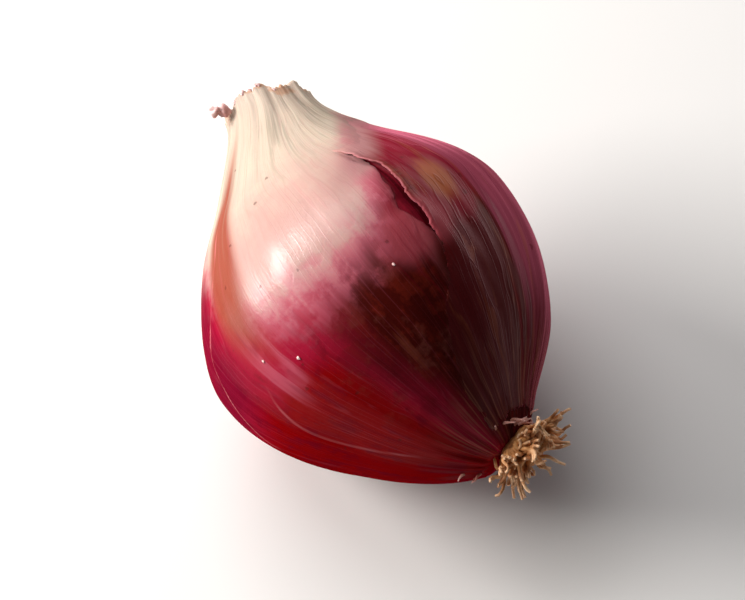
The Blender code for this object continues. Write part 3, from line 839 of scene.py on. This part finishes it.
def strandTree():  # curled tapering strands that grow from a mesh, where its strandShare is above zero
    tree, given = newGroup("curledStrands", "GeometryNodeTree", {
        "Geometry": geometry, "Density": 1e6, "Length": 4.0, "Length spread": 0.3, "Thickness": 0.2,
        "Flatness": 1.0, "Tip": 0.45, "Lean": 0.3, "Centre": vector, "Curl": 1.0, "Curl scale": 500.0,
        "Seed": 1, "Keep base": True, "Material": material})
    density = times(tree, readValue(tree, "strandShare", "FLOAT"), given["Density"])
    feet = addNode(tree, "GeometryNodeDistributePointsOnFaces", {
        "Mesh": given["Geometry"], "Density": density, "Seed": given["Seed"]}).outputs
    spot = addNode(tree, "GeometryNodeInputPosition").outputs[0]
    outwards = vectorCalc(tree, "NORMALIZE", vectorCalc(tree, "SUBTRACT", spot, given["Centre"]))
    across = vectorCalc(tree, "CROSS_PRODUCT", outwards, feet["Normal"])
    flatOut = vectorCalc(tree, "NORMALIZE", vectorCalc(tree, "CROSS_PRODUCT", feet["Normal"], across))
    heading = addNode(tree, "ShaderNodeMix", {0: given["Lean"], 4: feet["Normal"], 5: flatOut},
                      data_type="VECTOR")
    turned = addNode(tree, "FunctionNodeAlignRotationToVector", {"Vector": heading.outputs[1]}, axis="Z")
    end = combine(tree, 0.0, 0.0, times(tree, given["Length"], mm))
    line = addNode(tree, "GeometryNodeCurvePrimitiveLine", {"End": end})
    line = addNode(tree, "GeometryNodeResampleCurve", {"Curve": line.outputs[0], "Count": 12})
    shortest, longest = [calc(tree, way, 1.0, given["Length spread"]) for way in ("SUBTRACT", "ADD")]
    size = addNode(tree, "FunctionNodeRandomValue", {2: shortest, 3: longest, "Seed": given["Seed"]},
                   data_type="FLOAT")
    grown = addNode(tree, "GeometryNodeInstanceOnPoints", {
        "Points": feet["Points"], "Instance": line.outputs[0], "Rotation": turned.outputs[0],
        "Scale": size.outputs[1]})
    curves = addNode(tree, "GeometryNodeRealizeInstances", {"Geometry": grown.outputs[0]})
    along = addNode(tree, "GeometryNodeSplineParameter").outputs["Factor"]
    swirl = centred(tree, noise(tree, spot, given["Curl scale"], 1.0, given["Seed"])["Color"])
    push = times(tree, calc(tree, "POWER", along, 1.3), times(tree, given["Curl"], 2.0 * mm))
    bent = addNode(tree, "GeometryNodeSetPosition", {
        "Geometry": curves.outputs[0], "Offset": scaled(tree, swirl, push)})
    marked = addNode(tree, "GeometryNodeStoreNamedAttribute", {
        "Geometry": bent.outputs[0], "Name": "tipShare", "Value": along}, data_type="FLOAT", domain="POINT")
    thickness = times(tree, given["Thickness"], mm)
    taper = times(tree, softStep(tree, along, 0.0, 1.0, 1.0, given["Tip"]), thickness)
    thick = addNode(tree, "GeometryNodeSetCurveRadius", {"Curve": marked.outputs[0], "Radius": taper})
    ring = addNode(tree, "GeometryNodeCurvePrimitiveCircle", {"Resolution": 6, "Radius": 1.0})
    squeezed = addNode(tree, "GeometryNodeTransform", {
        "Geometry": ring.outputs[0], "Scale": combine(tree, 1.0, given["Flatness"], 1.0)})
    tubes = addNode(tree, "GeometryNodeCurveToMesh", {
        "Curve": thick.outputs[0], "Profile Curve": squeezed.outputs[0],
        "Scale": addNode(tree, "GeometryNodeInputRadius").outputs[0], "Fill Caps": True})
    smooth = addNode(tree, "GeometryNodeSetShadeSmooth", {"Geometry": tubes.outputs[0]})
    base = addNode(tree, "GeometryNodeSwitch", {"Switch": given["Keep base"], "True": given["Geometry"]},
                   input_type="GEOMETRY")
    both = addNode(tree, "GeometryNodeJoinGeometry")
    for part in (smooth, base):
        tree.links.new(part.outputs[0], both.inputs[0])
    return dressAndClose(tree, given, both.outputs[0])


trees = {"relief": reliefTree(), "strands": strandTree()}


def runTree(piece, tree, settings):  # sets the inputs by identifier, then keeps the result as a plain mesh
    modifier = piece.modifiers.new(tree.name, "NODES")
    modifier.node_group = tree
    sockets = {item.name: item.identifier for item in tree.interface.items_tree if item.in_out == "INPUT"}
    for name, value in settings.items():
        modifier[sockets[name]] = value
    return flatten(piece)


def buildBulb():
    b, r = bulbShape, bulbRelief
    columns = r["columnsRound"]
    angles = np.arange(columns) * 360.0 / columns
    steps = np.linspace(0.0, 1.0, r["rowsAlong"])
    along = (b["rootLength"] + b["neckLength"]) * (steps - r["crowding"] * np.sin(2 * math.pi * steps))
    rim, wall = -b["neckLength"], b["mouthRadius"] / b["neckRadius"]
    stations = [(b["rootLength"] + r["capStep"], share) for share in r["capShares"]]  # x, share of the radius
    stations += [(x, 1.0) for x in b["rootLength"] - along]
    stations += [(rim - 0.12, 0.97), (rim - 0.16, 0.92), (rim - 0.10, wall + 0.03)]  # the rounded rim
    mouthStart = len(stations) * columns
    stations += [(rim + depth, wall) for depth in (0.1, *np.linspace(0.4, b["mouthDepth"], 9))]
    stations += [(rim + b["mouthDepth"], wall * share) for share in r["mouthShares"]]
    points = []
    for station, share in stations:
        x = np.full(columns, station)
        at = station if share == 1.0 else (rim if station < 0.0 else b["rootLength"])
        radius = bulbRadius(np.clip(np.full(columns, at), rim, b["rootLength"]), angles) * share
        points.append(onSection(x + rimShift(x, angles) * min(share * 1.1, 1.0), angles, radius))
    points = np.concatenate(points)
    points[:, 2] = np.maximum(points[:, 2], 0.0)  # the flat resting spot
    rootCap, mouthCap, last = len(points), len(points) + 1, len(points) - columns
    faces = gridFaces(len(stations), columns)
    faces += [(rootCap, (j + 1) % columns, j) for j in range(columns)]
    faces += [(mouthCap, last + j, last + (j + 1) % columns) for j in range(columns)]
    points = np.concatenate([points, [points[:columns].mean(0), points[last:].mean(0)]])
    x = np.append(np.repeat([station for station, _ in stations], columns), [b["rootLength"], rim])
    x, angle = np.clip(x, rim, b["rootLength"]), np.append(np.tile(angles, len(stations)), [0.0, 0.0])
    values = bulbValues(x, angle)
    values["zoneMouth"] = np.where(np.arange(len(points)) >= mouthStart, 1.0, 0.0)
    values["zoneMouth"][rootCap] = 0.0
    piece = meshFrom("shallotBulb", points, faces, values, {"skinPlace": placeOnSkin(x, angle)})
    closePoles(piece)
    return runTree(piece, trees["relief"], {**r["relief"], "Material": materials["bulb"]})


bulb = buildBulb()
print("bulb:", len(bulb.data.polygons), "faces")


def buildPaperySkin():
    s = paperySkin
    across, lengthwise = np.meshgrid(np.linspace(0, 1, s["columnsRound"]), np.linspace(0, 1, s["rowsAlong"]))
    guess = s["neckEnd"] + lengthwise * (s["rootEnd"] - s["neckEnd"])
    low, top = skinEdges(guess)
    angle = low + across * (top - low)
    begins, ends = skinEnds(angle)
    x = begins + lengthwise * (ends - begins)
    low, top = skinEdges(x)
    angle = low + across * (top - low)
    perDegree = np.radians(profileRadius(x))
    fromTop, fromLow = (top - angle) * perDegree, (angle - low) * perDegree
    lipShare = (1.0 - rise(x, 1.0, 5.0)) * (1.0 - fall(x, -5.5, 4.0))
    lip = s["lipHeight"] * (1.0 - ease(fromTop / s["lipReach"])) * lipShare
    nearEdge = 1.0 - ease(np.minimum(fromLow, ends - x) / s["edgeReach"])
    edgeLift = s["edgeHeight"] * nearEdge * rise(x, -9.0, 3.0)
    turn = np.radians(angle)
    wrinkle = s["wrinkleHeight"] * np.sin(turn * 37.0 + 0.4 * x) * np.sin(turn * 13.0 + 0.2 * x)
    radius = uneven(x, angle) - s["sink"] + s["gap"] + lip + edgeLift + wrinkle
    values = {
        "fromTop": fromTop,
        "lipShare": lipShare,
        "zoneNeckSide": fall(x, np.minimum(neckLimit(angle) + 4.4, -5.6) + 3.0, 6.0),
        "zoneNeck": fall(x, np.minimum(neckLimit(angle), -7.0) + 2.5, 5.0),
        "zoneRoot": rise(x, 12.0, 7.0),
        "zoneShade": rise(x, -1.0, 9.0),
        # painted reflection: a mauve sheen band on the papery skin's far side, fading towards the roots
        "zoneMauveReflection": fall(angle, 53.0 - 0.5 * x, 4.5) * (1.0 - 0.8 * rise(x, 4.0, 13.0)),
        **spotValues(x, angle, s["spots"]),
    }
    points = onSection(x, angle, radius).reshape(-1, 3)
    faces = gridFaces(s["rowsAlong"], s["columnsRound"], closed=False)
    piece = meshFrom("paperySkin", points, faces, values, {"skinPlace": placeOnSkin(x, angle)})
    faceAway(piece, piece.data.polygons[len(faces) // 2], (0.0, 0.0, bulbShape["radius"]))
    piece = runTree(piece, trees["relief"], {**s["relief"], "Material": materials["papery"]})
    thick = piece.modifiers.new("Thin sheet", "SOLIDIFY")
    thick.thickness = s["thickness"] * mm
    thick.offset = 1.0
    piece = flatten(piece)
    piece.data.shade_smooth()
    return piece


outerSkin = buildPaperySkin()
print("papery skin:", len(outerSkin.data.polygons), "faces")


def sectionAxis(x):  # the bulb's own direction at x, and the middle of its section
    ahead = onSection(np.array([x]), np.array([0.0]), np.array([1.0]))[0]
    here = onSection(np.array([x]), np.array([0.0]), np.array([0.0]))[0]
    side = Vector(ahead - here)
    return side.cross(Vector((0, 0, 1))).normalized(), Vector(here)


domeRings, domeColumns = 20, 40


def domeMesh(name, centre, axis, radius, height, lumps):  # a low lumpy dome that faces along axis
    first = axis.orthogonal().normalized()
    second = axis.cross(first)
    points, shares = [], []
    for i in range(domeRings + 1):
        polar = math.pi * i / domeRings
        for j in range(domeColumns):
            turn = 2 * math.pi * j / domeColumns
            wave = 1.0 + lumps * math.sin(5 * turn + 3 * polar) * math.sin(polar)
            reach = radius * math.sin(polar) * wave
            flat = reach * (math.cos(turn) * first + math.sin(turn) * second)
            points.append(list(centre + flat + height * math.cos(polar) * axis))
            shares.append(1.0 if polar < 0.52 * math.pi else 0.0)  # strands grow on its upper half
    piece = meshFrom(name, np.array(points), gridFaces(domeRings + 1, domeColumns),
                     {"strandShare": np.array(shares), "tipShare": np.zeros(len(points))})
    closePoles(piece)
    return piece


strandInputs = {
    "length": "Length", "spread": "Length spread", "thickness": "Thickness", "flatness": "Flatness",
    "tip": "Tip", "lean": "Lean", "curl": "Curl", "curlScale": "Curl scale", "seed": "Seed",
    "keepBase": "Keep base",
}


def growStrands(piece, sizes, centre, finish):
    settings = {label: sizes[key] for key, label in strandInputs.items()}
    return runTree(piece, trees["strands"], {
        **settings, "Density": sizes["density"] / mm**2, "Centre": [v * mm for v in centre],
        "Material": materials[finish]})


rootTuft = {
    "plateRadius": 2.35, "plateHeight": 1.5, "rise": 0.5, "offset": (0.0, 1.4, 0.6), "lumps": 0.06,
    "density": 6.0, "length": 1.6, "spread": 0.45, "thickness": 0.25, "flatness": 1.0, "tip": 0.55,
    "lean": 0.34, "curl": 3.6, "curlScale": 520.0, "seed": 9, "keepBase": True,
}


def buildRootTuft():
    r = rootTuft
    axis, middle = sectionAxis(bulbShape["rootLength"])
    centre = middle + axis * r["rise"] + Vector(r["offset"])
    plate = domeMesh("rootTuft", centre, axis, r["plateRadius"], r["plateHeight"], r["lumps"])
    return growStrands(plate, r, centre - axis, "root")


tuft = buildRootTuft()
print("root tuft:", len(tuft.data.polygons), "faces")

dryNeck = {
    "plugRadius": 3.1, "plugHeight": 0.8, "depth": 2.3, "lumps": 0.05,
    "density": 1.5, "length": 1.5, "spread": 0.25, "thickness": 0.42, "flatness": 0.25, "tip": 0.4,
    "lean": 0.10, "curl": 0.9, "curlScale": 300.0, "seed": 4, "keepBase": True,
}


def buildDryNeck():
    d = dryNeck
    axis, middle = sectionAxis(-bulbShape["neckLength"] + d["depth"])
    plug = domeMesh("dryNeckLeaves", middle, -axis, d["plugRadius"], d["plugHeight"], d["lumps"])
    return growStrands(plug, d, middle, "leaf")


leaves = buildDryNeck()
print("dry neck:", len(leaves.data.polygons), "faces")

# Scraps of old skin: place along and round, size and height over the skin in mm, thickness as a share
scraps = ((-22.2, 151.0, 0.68, 0.85, 0.9), (-22.1, 154.0, 0.56, 1.70, 0.9), (-21.9, 138.0, 0.30, -0.1, 0.8),
          (-22.0, 122.0, 0.36, -0.1, 0.8), (-22.0, 112.0, 0.24, -0.15, 0.8), (-22.0, 100.0, 0.32, -0.15, 0.8),
          (-22.0, 84.0, 0.26, -0.2, 0.8), (5.5, 93.0, 0.17, 0.02, 0.4), (5.9, 138.0, 0.20, 0.02, 0.4),
          (3.4, 149.0, 0.17, 0.02, 0.4))
scrapShape = {"rows": 12, "columns": 20, "narrow": 0.75, "seed": 8, "rimStop": -21.9}


def buildFlakes():  # small lumpy beads and crumbs, each with its own shape
    points, faces, tips = [], [], []
    rows, columns = scrapShape["rows"], scrapShape["columns"]
    draw = random.Random(scrapShape["seed"])
    for x, angle, size, lift, thickness in scraps:
        lumpWaves = [(n, draw.uniform(0.10, 0.24), draw.uniform(0.0, 6.28)) for n in (2, 3, 5)]
        x = x + float(rimShift(np.array(x), np.array(angle)))
        under = np.array(max(x, scrapShape["rimStop"]))
        start = len(points)
        for i in range(rows + 1):
            polar = math.pi * i / rows
            for j in range(columns):
                turn = 2 * math.pi * j / columns
                lumps = sum(share * math.sin(n * turn + phase) * math.sin(polar * n)
                            for n, share, phase in lumpWaves)
                reach = size * math.sin(polar) * (1.0 + lumps)
                along, across = reach * math.cos(turn), scrapShape["narrow"] * reach * math.sin(turn)
                here = angle + math.degrees(across / float(profileRadius(under)))
                height = lift + size * thickness * math.cos(polar) * (1.0 + lumps)
                radius = float(bulbRadius(under, np.array(angle))) + height
                points.append(onSection(np.array(x + along), np.array(here), np.array(radius)))
                tips.append(0.5 + 0.5 * math.cos(polar))
        faces += [tuple(start + k for k in face) for face in gridFaces(rows + 1, columns)]
    piece = meshFrom("skinFlakes", np.array(points), faces, {"tipShare": np.array(tips)})
    closePoles(piece)
    piece.data.materials.append(materials["scrap"])
    return piece


scurf = buildFlakes()
print("flakes:", len(scurf.data.polygons), "faces")

frays = {
    "from": 20.3, "to": 21.3, "rows": 8, "columns": 96, "above": 0.02,
    "density": 0.75, "length": 1.2, "spread": 0.5, "thickness": 0.18, "flatness": 0.5, "tip": 0.35,
    "lean": 0.60, "curl": 2.4, "curlScale": 420.0, "seed": 2, "keepBase": False,
}


def buildFrays():  # pale ends of old skin that lie on the bulb round the root plate
    f = frays
    angle, x = np.meshgrid(np.arange(f["columns"]) * 360.0 / f["columns"],
                           np.linspace(f["from"], f["to"], f["rows"]))
    points = onSection(x, angle, bulbRadius(x, angle) + f["above"]).reshape(-1, 3)
    share = 0.5 + 0.5 * np.sin(np.radians(angle) * 3.0 - 1.2)  # they come in three patches
    piece = meshFrom("skinFrays", points, gridFaces(f["rows"], f["columns"]),
                     {"strandShare": share, "tipShare": share * 0.0})
    faceAway(piece, piece.data.polygons[0], (bulbShape["rootLength"], 0.0, bulbShape["radius"]))
    return growStrands(piece, f, sectionAxis(bulbShape["rootLength"])[1], "fray")


fringe = buildFrays()
print("frays:", len(fringe.data.polygons), "faces")

for piece, node, slotName in ((bulb, "bulb", "bulb_skin"), (outerSkin, "outer_skin", "papery_skin"),
                              (leaves, "dry_neck", "dry_leaf"), (tuft, "root_tuft", "dry_root"),
                              (fringe, None, "dry_root"), (scurf, None, "papery_skin")):
    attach(piece, "root")
    if node:
        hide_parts(node)

view = {
    "azimuth": 54.7, "elevation": 65.0, "lens": 200.0, "sensor": 36.0, "width": 745, "height": 600,
    "aim": (0.00112, -0.00009, 0.01763), "tall": 0.041, "fill": 0.70,  # how tall it looks, in metres
}
lamps = {  # place as the camera sees it: right, up and towards it
    "keyLight": {"place": (-0.896, 0.299, 0.331), "distance": 0.36, "size": (0.20, 0.12), "power": 2.2,
                 "colour": (1.0, 0.97, 0.93)},
    "rimLight": {"place": (0.60, 0.72, -0.22), "distance": 0.30, "size": (0.36, 0.12), "power": 0.34,
                 "colour": (1.0, 0.97, 0.93)},  # low at the back right, for the soft band along that side
    "softLight": {"place": (-0.35, 0.80, 0.49), "distance": 0.5, "size": (0.36, 0.36), "power": 1.5,
                  "colour": (1.0, 0.98, 0.97)},  # broad and high, where its reflection falls on the pale neck
}
stage = {"sky": rgb(0.95, 0.96, 1.0), "skyStrength": 0.06, "floor": rgb(0.86, 0.85, 0.84), "halfFloor": 1.5}


def placeHolder(name, data, direction, distance):  # the camera or a lamp, looking at the aim
    holder = bpy.data.objects.new(name, data)
    holder.location = Vector(view["aim"]) + direction * distance
    holder.rotation_euler = direction.to_track_quat("Z", "Y").to_euler()
    bpy.context.scene.collection.objects.link(holder)
    return holder


def buildStage():
    azimuth, elevation = math.radians(view["azimuth"]), math.radians(view["elevation"])
    right = Vector((math.cos(azimuth), math.sin(azimuth), 0.0))
    towards = Vector((math.sin(azimuth) * math.cos(elevation), -math.cos(azimuth) * math.cos(elevation),
                      math.sin(elevation)))
    up = towards.cross(right)
    seen = view["tall"] / view["fill"]
    distance = seen * view["lens"] / (view["sensor"] * view["height"] / view["width"])
    camera = bpy.data.cameras.new("camera")
    camera.lens, camera.sensor_width = view["lens"], view["sensor"]
    camera.clip_start, camera.clip_end = 0.01, 10.0
    bpy.context.scene.camera = placeHolder("camera", camera, towards, distance)
    for name, lamp in lamps.items():
        data = bpy.data.lights.new(name, "AREA")
        data.shape, data.energy, data.color = "RECTANGLE", lamp["power"], lamp["colour"]
        data.size, data.size_y = lamp["size"]
        x, y, z = lamp["place"]
        placeHolder(name, data, (right * x + up * y + towards * z).normalized(), lamp["distance"])
    world = bpy.data.worlds.new("studio")
    world.use_nodes = True
    sky = world.node_tree.nodes["Background"].inputs
    sky["Color"].default_value, sky["Strength"].default_value = stage["sky"], stage["skyStrength"]
    bpy.context.scene.world = world
    half = stage["halfFloor"] / mm
    corners = np.array([(-half, -half, 0), (half, -half, 0), (half, half, 0), (-half, half, 0)])
    floor = meshFrom("floor", corners, [(0, 1, 2, 3)])
    floor.data.materials.append(newMaterial("floor", {"Base Color": stage["floor"], "Roughness": 0.6})[0])
    bpy.context.scene.view_settings.view_transform = "Standard"


buildStage()
print("stage ready")
